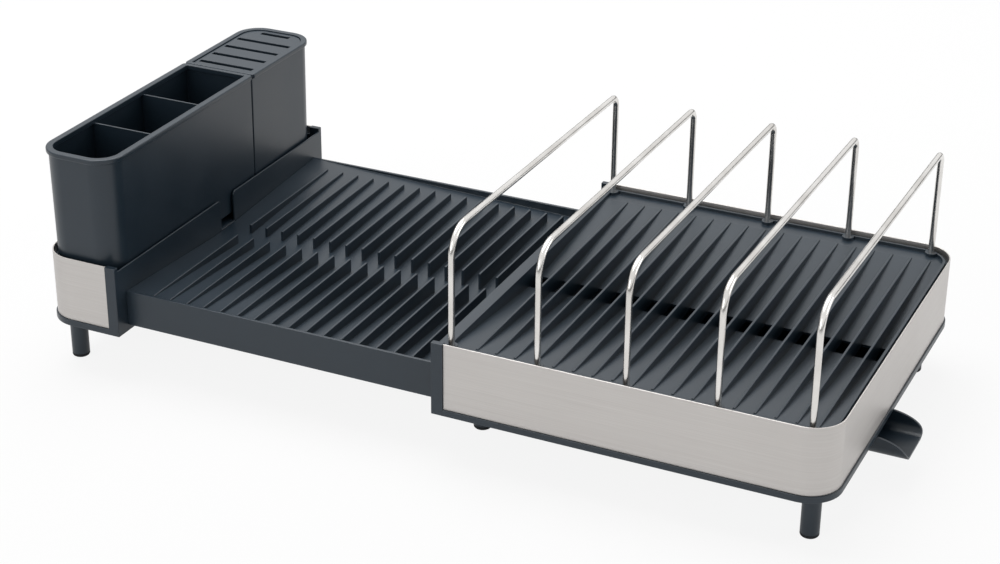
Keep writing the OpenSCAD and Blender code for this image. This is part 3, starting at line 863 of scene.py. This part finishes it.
@dataclass
class SlattedRack:
    """The lift-out rack: rim, two sloping floors, ribs across them and five wire hoops."""

    builder: Builder
    ribs: GeometryNodeTree
    wires: GeometryNodeTree
    edge: float = 0.4
    # Ribs, and the floors that they stand on, which fall from the flange to the slot
    pitch: float = 15.0
    count: int = 18
    thick: float = 2.0
    first: float = 30.5
    y_front: float = -147.5
    y_back: float = 139.5
    slot_front: float = -16.0
    slot_back: float = 5.0
    flange: float = 94.0
    slot: float = 82.0
    floor: float = 2.0
    top: float = 94.8
    # Hoops, whose back corner is lower than the front one
    wire_radius: float = 2.5
    hoop_first: float = 12.5
    hoop_pitch: float = 67.625
    hoop_count: int = 5
    hoop_y: float = 152.4
    hoop_foot: float = 87.0
    front_top: float = 186.0
    back_top: float = 181.0
    front_bend: float = 21.0
    back_bend: float = 8.0

    def build(self) -> None:
        """Builds and dresses the slatted rack."""
        make = self.builder.moulding
        sockets = [self.hoop_first + i * self.hoop_pitch for i in range(self.hoop_count)]
        make("rack_rim", "slatted_rack_rim", Body.RACK, Slot.SLATE, self.edge, sockets)
        make("rack_floor_front", "slatted_rack_front_floor", Body.RACK, Slot.SLATE, 0.0)
        make("rack_floor_back", "slatted_rack_back_floor", Body.RACK, Slot.SLATE, 0.0)
        self.rib_row()
        self.hoops()

    def rib_row(self) -> None:
        """Builds the ribs, whose tops stay level while the floors fall to the slot."""
        sunk = self.floor / 2
        outline = [
            (self.y_front, self.top),
            (self.y_front, self.flange - sunk),
            (self.slot_front, self.slot - sunk),
            (self.slot_front, self.slot - self.floor),
            (self.slot_back, self.slot - self.floor),
            (self.slot_back, self.slot - sunk),
            (self.y_back, self.flange - sunk),
            (self.y_back, self.top),
        ]
        thing = rib("slatted_rack_ribs", outline, self.first, self.thick)
        row = {"Pitch": self.pitch * MM, "Count": self.count}
        self.builder.grow(thing, self.ribs, row, Body.RACK, Slot.SLATE, ["rack_ribs"])

    def hoops(self) -> None:
        """Bends the five hoops, with a wide bend at the front and a tight one at the back."""
        corners = [
            (self.hoop_first, -self.hoop_y, self.hoop_foot),
            (self.hoop_first, -self.hoop_y, self.front_top),
            (self.hoop_first, self.hoop_y, self.back_top),
            (self.hoop_first, self.hoop_y, self.hoop_foot),
        ]
        mesh = bpy.data.meshes.new("plate_hoops")
        mesh.from_pydata([place(*c) for c in corners], [(0, 1), (1, 2), (2, 3)], [])
        thing = mesh_object("plate_hoops", mesh)
        values = {
            "Wire Radius": self.wire_radius * MM,
            "Front Bend": self.front_bend * MM,
            "Back Bend": self.back_bend * MM,
            "Pitch": self.hoop_pitch * MM,
            "Count": self.hoop_count,
        }
        nodes = [f"hoop_{i + 1}" for i in range(self.hoop_count)]
        self.builder.grow(thing, self.wires, values, Body.RACK, Slot.WIRE, nodes)


def rib(name: str, outline: Sequence[Point2], x: float, thick: float) -> Object:
    """Builds one rib from its outline across the rack, with a rounded top edge.

    Args:
        name: the object's name.
        outline: y and z of its corners; the first and last are its top corners.
        x: where its middle lies.
        thick: its thickness.

    Returns:
        The rib.
    """
    bm = bmesh.new()
    sides = [[bm.verts.new(place(x + s * thick / 2, y, z)) for y, z in outline] for s in (-1, 1)]
    count = len(outline)
    bm.faces.new(sides[0])
    bm.faces.new(list(reversed(sides[1])))
    for i in range(count):
        j = (i + 1) % count
        bm.faces.new((sides[0][i], sides[1][i], sides[1][j], sides[0][j]))
    bm.edges.ensure_lookup_table()
    top = {sides[0][0], sides[0][-1], sides[1][0], sides[1][-1]}
    round_edges(bm, [e for e in bm.edges if set(e.verts) <= top], RIB_ROUNDING_MM, 3)
    return object_from(name, bm)


@dataclass
class Extension:
    """The sliding part: cutlery bay, its band, legs and floor, and the ribbed drip tray."""

    builder: Builder
    ribs: GeometryNodeTree
    edge: float = 0.5
    fine_edge: float = 0.3
    tray_edge: float = 0.4
    # Ribs
    pitch: float = 15.0
    count: int = 18
    thick: float = 2.0
    first: float = -248.0
    rib_front: float = 2.6
    rib_back: float = 18.2
    # How far rib tops stay under the tray's sides, and the share of its floor that feet sink into
    rib_drop: float = 0.05
    rib_sunk: float = 0.6
    # Tray, whose floor falls from its sides to a channel and from the bay to the drain
    bay_right: float = -271.0
    half: float = 148.0
    top: float = 75.5
    fall: float = 7.0
    slope: float = 8.0 / 271.0
    floor: float = 2.0
    channel_front: float = -21.0
    channel_back: float = 0.0

    def build(self) -> None:
        """Builds and dresses the extension."""
        make = self.builder.moulding
        make("cutlery_bay", "cutlery_bay_walls", Body.EXTENSION, Slot.SLATE, self.edge)
        make("bay_floor", "cutlery_bay_floor", Body.EXTENSION, Slot.SLATE, self.fine_edge)
        make("bay_band", "cutlery_bay_steel_band", Body.EXTENSION, Slot.STEEL, self.fine_edge)
        make("bay_legs", "cutlery_bay_legs", Body.EXTENSION, Slot.SLATE, self.fine_edge)
        make("bay_foot_pads", "cutlery_bay_foot_pads", Body.EXTENSION, Slot.RUBBER, 0.0)
        make("drain_tray", "drip_tray", Body.EXTENSION, Slot.SLATE, self.tray_edge)
        front = (-self.half + self.rib_front, self.channel_front)
        back = (self.half - self.rib_back, self.channel_back)
        self.rib_row("drip_tray_front_ribs", "tray_ribs_front", *front)
        self.rib_row("drip_tray_back_ribs", "tray_ribs_back", *back)

    def floor_level(self, y: float) -> float:
        """Works out the tray floor's level at the first rib.

        Args:
            y: place across the tray.

        Returns:
            The level.
        """
        if y < self.channel_front:
            share = (y + self.half) / (self.channel_front + self.half)
        elif y > self.channel_back:
            share = (self.half - y) / (self.half - self.channel_back)
        else:
            share = 1.0
        return self.top - self.fall * share - self.slope * (self.first - self.bay_right)

    def rib_row(self, name: str, node: str, y_out: float, y_in: float) -> None:
        """Builds one row of ribs, level on top, whose feet follow the falling floor.

        Args:
            name: the piece's name.
            node: the CAD node that it replaces.
            y_out: where the ribs start, near the tray's side.
            y_in: where they end, at the channel.
        """
        sunk = self.floor * self.rib_sunk
        crest = self.top - self.rib_drop
        outline = [
            (y_out, crest),
            (y_out, self.floor_level(y_out) - sunk),
            (y_in, self.floor_level(y_in) - sunk),
            (y_in, crest),
        ]
        thing = rib(name, outline, self.first, self.thick)
        values = {
            "Pitch": self.pitch * MM,
            "Count": self.count,
            "Fall per Metre": self.slope,
            # Just under the rounding of the top
            "Foot Level": (crest - RIB_ROUNDING_MM - 0.1) * MM,
            "First Rib": place(self.first, 0, 0).x,
        }
        self.builder.grow(thing, self.ribs, values, Body.EXTENSION, Slot.SLATE, [node])


def quarter(steps: int) -> list[Point2]:
    """Returns how far a quarter round of radius 1 lies inside its two faces, along it."""
    turns = [math.pi / 2 * i / steps for i in range(steps + 1)]
    return [(1 - math.sin(a), 1 - math.cos(a)) for a in turns]


@dataclass
class BayBox:
    """A box that stands in the bay: drafted walls, a rolled bead round its rim, rails under it."""

    builder: Builder
    y_from: float
    y_to: float
    round_at_back: bool
    x_from: float = -337.1
    x_to: float = -273.1
    floor_z: float = 74.8
    rim_z: float = 185.5
    wall: float = 2.6
    draft: float = 1.1
    # Radii of the outer corners, of those at the seam, of the foot and of the bead's top
    big: float = 20.0
    small: float = 1.5
    foot: float = 2.4
    roll: float = 1.0
    bead: float = 1.6
    bead_height: float = 4.0
    # Rails
    rail_z: float = 69.8
    rail_half: float = 1.5
    rail_edge: float = 0.4
    rail_gap: float = 3.0
    corner_steps: int = 12

    def ring(self, inside: float, at_seam: float, z: float) -> list[Vector]:
        """Returns the box's outline at a distance inside its outer faces, at a level.

        Args:
            inside: the distance, less than 0 outside.
            at_seam: the same for the face beside the other box.
            z: the level.

        Returns:
            The ring's points, anticlockwise from above.
        """
        y_in = (at_seam, inside) if self.round_at_back else (inside, at_seam)
        x0, x1 = self.x_from + inside, self.x_to - inside
        y0, y1 = self.y_from + y_in[0], self.y_to - y_in[1]
        big = self.big - inside
        small = self.small - min(inside, self.small / 2)
        r0, r1 = (small, big) if self.round_at_back else (big, small)
        points = (
            arc(x0 + r0, y0 + r0, r0, 180, 270, self.corner_steps)
            + arc(x1 - r0, y0 + r0, r0, 270, 360, self.corner_steps)
            + arc(x1 - r1, y1 - r1, r1, 0, 90, self.corner_steps)
            + arc(x0 + r1, y1 - r1, r1, 90, 180, self.corner_steps)
        )
        return [place(x, y, z) for x, y in points]

    def outside(self) -> list[Point3]:
        """Follows the outer skin from the floor up and round the bead, which is flush at the seam.

        Returns:
            Rows of inset, inset at the seam and level.
        """
        low, high = self.foot, self.roll
        foot = [(self.draft + low * u, low * u, self.floor_z + low * v) for u, v in quarter(6)]
        under = self.rim_z - self.bead_height
        # The small fillet under the bead, and the bead's rounded lower edge
        neck = [(0.25, 0.0, under - 0.9), (-0.1, 0.0, under - 0.25), (-0.6, 0.0, under)]
        bulge = [(0.7, 0.05), (0.2, 0.35), (0.0, 0.9)]
        bead = [(inward - self.bead, 0.0, under + up) for inward, up in bulge]
        top = [(high * v - self.bead, high * v, self.rim_z - high * u) for u, v in quarter(6)]
        return foot + neck + bead + top

    def shell(self, bm: BMesh, inner: Sequence[Point2]) -> None:
        """Joins the outer skin with the inner one.

        Args:
            bm: the working mesh.
            inner: inset and level of the inner skin, from the rim down.
        """
        rows = self.outside() + [(inside, inside, z) for inside, z in inner]
        loft(bm, [self.ring(*row) for row in rows])

    def rails(self, bm: BMesh, y_first: float, y_last: float, count: int) -> None:
        """Adds the rails that the box stands on.

        Args:
            bm: the working mesh.
            y_first: middle of the first rail.
            y_last: middle of the last rail.
            count: how many there are.
        """
        for i in range(count):
            y = y_first + i * (y_last - y_first) / (count - 1)
            low = (self.x_from + self.big, y - self.rail_half, self.rail_z)
            high = (self.x_to - self.big, y + self.rail_half, self.floor_z + self.wall / 2)
            rounded_bar(bm, low, high, self.rail_edge)

    def finish(self, bm: BMesh, name: str, body: Body, node: str) -> None:
        """Turns the working mesh into the piece.

        Args:
            bm: the working mesh.
            name: the piece's name.
            body: the body that it rides on.
            node: the CAD node that it replaces.
        """
        thing = object_from(name, bm)
        shade(thing)
        self.builder.settle(thing, body, Slot.SLATE, [node])


@dataclass
class CutleryHolder(BayBox):
    """The open box with three compartments."""

    compartments: int = 3
    divider: float = 1.6
    divider_drop: float = 3.0
    divider_edge: float = 0.5
    rim_inward: float = 1.4
    rim_round: float = 0.6
    well_round: float = 3.0
    # How far the rim's inner edge turns under, and the dividers stay clear of the walls' faces
    rim_turn: float = 0.4
    divider_inset: float = 0.3

    def build(self) -> None:
        """Builds and dresses the holder."""
        bm = bmesh.new()
        edge = self.wall + self.rim_inward
        lip = [(edge - self.rim_round * u, self.rim_z - self.rim_round * v) for u, v in quarter(5)]
        under = self.rim_z - self.bead_height
        turn = self.rim_turn
        lip += [(edge, under + turn), (edge - turn, under), (self.wall, under - self.rim_round)]
        well, low = self.floor_z + self.wall, self.well_round
        sink = [(self.wall + self.draft + low * v, well + low * u) for u, v in quarter(5)]
        self.shell(bm, lip + sink)
        sunk = self.wall / 2
        inset = sunk + self.divider_inset
        step = (self.y_to - self.y_from - 2 * sunk) / self.compartments
        for i in range(1, self.compartments):
            y = self.y_from + sunk + i * step
            low_end = (self.x_from + inset, y - self.divider / 2, self.floor_z + sunk)
            high_end = (self.x_to - inset, y + self.divider / 2, self.rim_z - self.divider_drop)
            rounded_bar(bm, low_end, high_end, self.divider_edge)
        self.rails(bm, self.y_from + self.big, self.y_to - self.small - self.rail_gap, 3)
        self.finish(bm, "cutlery_holder_box", Body.HOLDER, "cutlery_holder")


@dataclass
class KnifeBlock(BayBox):
    """The closed box with a slotted plate let into its top."""

    margin: float = 5.2
    ledge: float = 2.0
    plate_z: float = 181.5
    plate_edge: float = 0.35
    rim_round: float = 0.5
    well_slant: float = 2.0

    def build(self) -> None:
        """Builds and dresses the block and its plate."""
        bm = bmesh.new()
        inset = self.margin - self.bead
        lip = [(inset - self.rim_round * u, self.rim_z - self.rim_round * v) for u, v in quarter(3)]
        well, slant = self.floor_z + self.wall, self.well_slant
        inner = inset + self.ledge
        seat = [(inset, self.plate_z), (inner, self.plate_z)]
        inner += self.draft
        self.shell(bm, lip + seat + [(inner, well + slant), (inner + slant, well)])
        self.rails(bm, self.y_from + self.small + self.rail_gap, self.y_to - self.big, 2)
        self.finish(bm, "knife_block_box", Body.BLOCK, "knife_block")
        middle = (self.x_from + self.x_to) / 2
        self.builder.moulding(
            "knife_plate", "knife_block_plate", Body.BLOCK, Slot.SLATE, self.plate_edge, [middle]
        )


# ---- studio


@dataclass(frozen=True)
class StudioCamera:
    """The photograph's viewpoint."""

    focal_px: float = 2152.14
    frame_px: int = 1000
    yaw_deg: float = 24.867
    pitch_deg: float = 26.286
    roll_deg: float = 0.514
    position_mm: Point3 = (627.09, -1378.88, 822.71)
    sensor_mm: float = 36.0

    def build(self) -> None:
        """Sets up the camera."""
        yaw, pitch, roll = (math.radians(a) for a in (self.yaw_deg, self.pitch_deg, self.roll_deg))
        ahead = Vector((-math.sin(yaw), math.cos(yaw), 0.0))
        forward = math.cos(pitch) * ahead + Vector((0.0, 0.0, -math.sin(pitch)))
        level = Vector((math.cos(yaw), math.sin(yaw), 0.0))
        upright = level.cross(forward)
        right = math.cos(roll) * level + math.sin(roll) * upright
        up = -math.sin(roll) * level + math.cos(roll) * upright
        data = bpy.data.cameras.new("photo_camera")
        data.sensor_fit = "HORIZONTAL"
        data.sensor_width = self.sensor_mm
        data.lens = self.focal_px / self.frame_px * self.sensor_mm
        data.clip_end = 50.0
        camera = bpy.data.objects.new("photo_camera", data)
        bpy.context.scene.collection.objects.link(camera)
        turn = Matrix((right, up, -forward)).transposed()
        camera.matrix_world = Matrix.Translation(Vector(self.position_mm) * MM) @ turn.to_4x4()
        bpy.context.scene.camera = camera


@dataclass(frozen=True)
class Softbox:
    """A rectangular soft lamp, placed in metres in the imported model's frame."""

    name: str
    position: Point3
    target: Point3
    size: Point2
    watts: float

    def build(self) -> None:
        """Sets up the lamp."""
        data = bpy.data.lights.new(self.name, "AREA")
        data.shape = "RECTANGLE"
        data.size, data.size_y = self.size
        data.energy = self.watts
        lamp = bpy.data.objects.new(self.name, data)
        bpy.context.scene.collection.objects.link(lamp)
        stand = Vector(self.position)
        turn = (Vector(self.target) - stand).to_track_quat("-Z", "Y").to_matrix()
        lamp.matrix_world = Matrix.Translation(stand) @ turn.to_4x4()


@dataclass
class Studio:
    """A pale floor, a white surround and soft lamps above and in front."""

    floor_half: float = 7.0
    floor_colour: str = "#ececec"
    # Share of plain white in the floor as the camera sees it, and as surfaces reflect it near the rack, where
    # the white is a painted reflection of a lit floor
    floor_share: float = 0.88
    painted_reflection_share: float = 0.6
    # How bright the studio's far side looks in reflections, where on the floor it starts, in metres, and how
    # high it reaches in the surround; on the floor this is painted shade, the painted reflection fading with
    # distance
    far_share: float = 0.12
    far_from: float = 0.9
    far_to: float = 2.0
    low_from: float = 0.1
    low_to: float = 0.2
    ambient: float = 0.3
    softboxes: tuple[Softbox, ...] = (
        Softbox("overhead_softbox", (-0.55, 0.35, 1.9), (-0.1, 0.0, 0.0), (1.8, 1.6), 44.0),
        Softbox("front_softbox", (-0.75, -2.3, 1.0), (0.0, 0.0, 0.05), (1.4, 1.2), 12.5),
        Softbox("right_softbox", (2.0, 0.9, 0.7), (0.1, 0.0, 0.08), (1.4, 0.9), 11.0),
    )

    def build(self) -> None:
        """Sets up the whole studio."""
        StudioCamera().build()
        for box in self.softboxes:
            box.build()
        self.surround()
        self.floor()
        bpy.context.scene.view_settings.view_transform = "Standard"

    def seen(self, add: AddNode) -> tuple[NodeSocket, NodeSocket]:
        """Adds the tests for rays that show the background.

        Args:
            add: adds a node to the tree.

        Returns:
            An output that is 1 for camera rays, and one that is 1 for glossy and transmitted ones.
        """
        rays = add("ShaderNodeLightPath").outputs
        mirrored = add(
            "ShaderNodeMath", {0: rays["Is Glossy Ray"], 1: rays["Is Transmission Ray"]}, operation="MAXIMUM"
        ).outputs[0]
        return rays["Is Camera Ray"], mirrored

    def surround(self) -> None:
        """Makes the world white where it is seen, and dim where it lights."""
        world = bpy.data.worlds.new("studio_surround")
        world.use_nodes = True
        world.node_tree.nodes.clear()
        add = partial(add_node, world.node_tree)
        dim = add("ShaderNodeBackground", {"Color": WHITE, "Strength": self.ambient})
        way = add("ShaderNodeTexCoord").outputs["Generated"]
        rise = {"From Min": self.low_from, "From Max": self.low_to, "To Min": self.far_share}
        height = add(
            "ShaderNodeMapRange", {"Value": add("ShaderNodeSeparateXYZ", {0: way}).outputs["Z"], **rise}
        ).outputs["Result"]
        camera, mirrored = self.seen(add)
        level = add("ShaderNodeMath", {0: camera, 1: height}, operation="MAXIMUM").outputs[0]
        white = add("ShaderNodeBackground", {"Color": WHITE, "Strength": level})
        shown = add("ShaderNodeMath", {0: camera, 1: mirrored}, operation="MAXIMUM").outputs[0]
        mix = add("ShaderNodeMixShader", {0: shown, 1: dim.outputs[0], 2: white.outputs[0]})
        add("ShaderNodeOutputWorld", {"Surface": mix.outputs[0]})
        bpy.context.scene.world = world

    def floor(self) -> None:
        """Lays a pale floor that shows white and keeps the rack's shadow."""
        bm = bmesh.new()
        h = self.floor_half
        bm.faces.new([bm.verts.new((x, y, 0.0)) for x, y in ((-h, -h), (h, -h), (h, h), (-h, h))])
        floor = object_from("studio_floor", bm)
        material, tree = new_material("studio_floor_paper")
        add = partial(add_node, tree)
        paper = add("ShaderNodeBsdfDiffuse", {"Color": linear(self.floor_colour), "Roughness": 0.6})
        white = add("ShaderNodeEmission", {"Color": WHITE, "Strength": 1.0})
        camera, mirrored = self.seen(add)
        # Painted reflection: surfaces see the floor glow white, less with distance from the middle, as
        # painted shade for the far floor
        spot = add("ShaderNodeTexCoord").outputs["Object"]
        distance = add("ShaderNodeVectorMath", {0: spot}, operation="LENGTH").outputs["Value"]
        painted_glow_fade = {
            "From Min": self.far_from,
            "From Max": self.far_to,
            "To Min": self.painted_reflection_share,
            "To Max": self.far_share,
        }
        painted_glow_share = add("ShaderNodeMapRange", {"Value": distance, **painted_glow_fade}).outputs["Result"]
        reflected = add("ShaderNodeMath", {0: mirrored, 1: painted_glow_share}, operation="MULTIPLY").outputs[0]
        share = add(
            "ShaderNodeMath", {0: camera, 1: self.floor_share, 2: reflected}, operation="MULTIPLY_ADD"
        ).outputs[0]
        mix = add("ShaderNodeMixShader", {0: share, 1: paper.outputs[0], 2: white.outputs[0]})
        add("ShaderNodeOutputMaterial", {"Surface": mix.outputs[0]})
        floor.data.materials.append(material)


def main() -> None:
    """Builds the dressed dish rack and its studio."""
    logging.basicConfig(level=logging.INFO, format="%(name)s: %(message)s")
    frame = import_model()
    Studio().build()
    builder = Builder(frame, Finishes())
    ribs, wires = rib_row_tree(), wire_tree()
    MainRack(builder).build()
    DrainSpout(builder).build()
    SlattedRack(builder, ribs, wires).build()
    Extension(builder, ribs).build()
    CutleryHolder(builder, y_from=-156.1, y_to=52.138, round_at_back=False).build()
    KnifeBlock(builder, y_from=52.938, y_to=156.1, round_at_back=True).build()


if __name__ == "__main__":
    main()
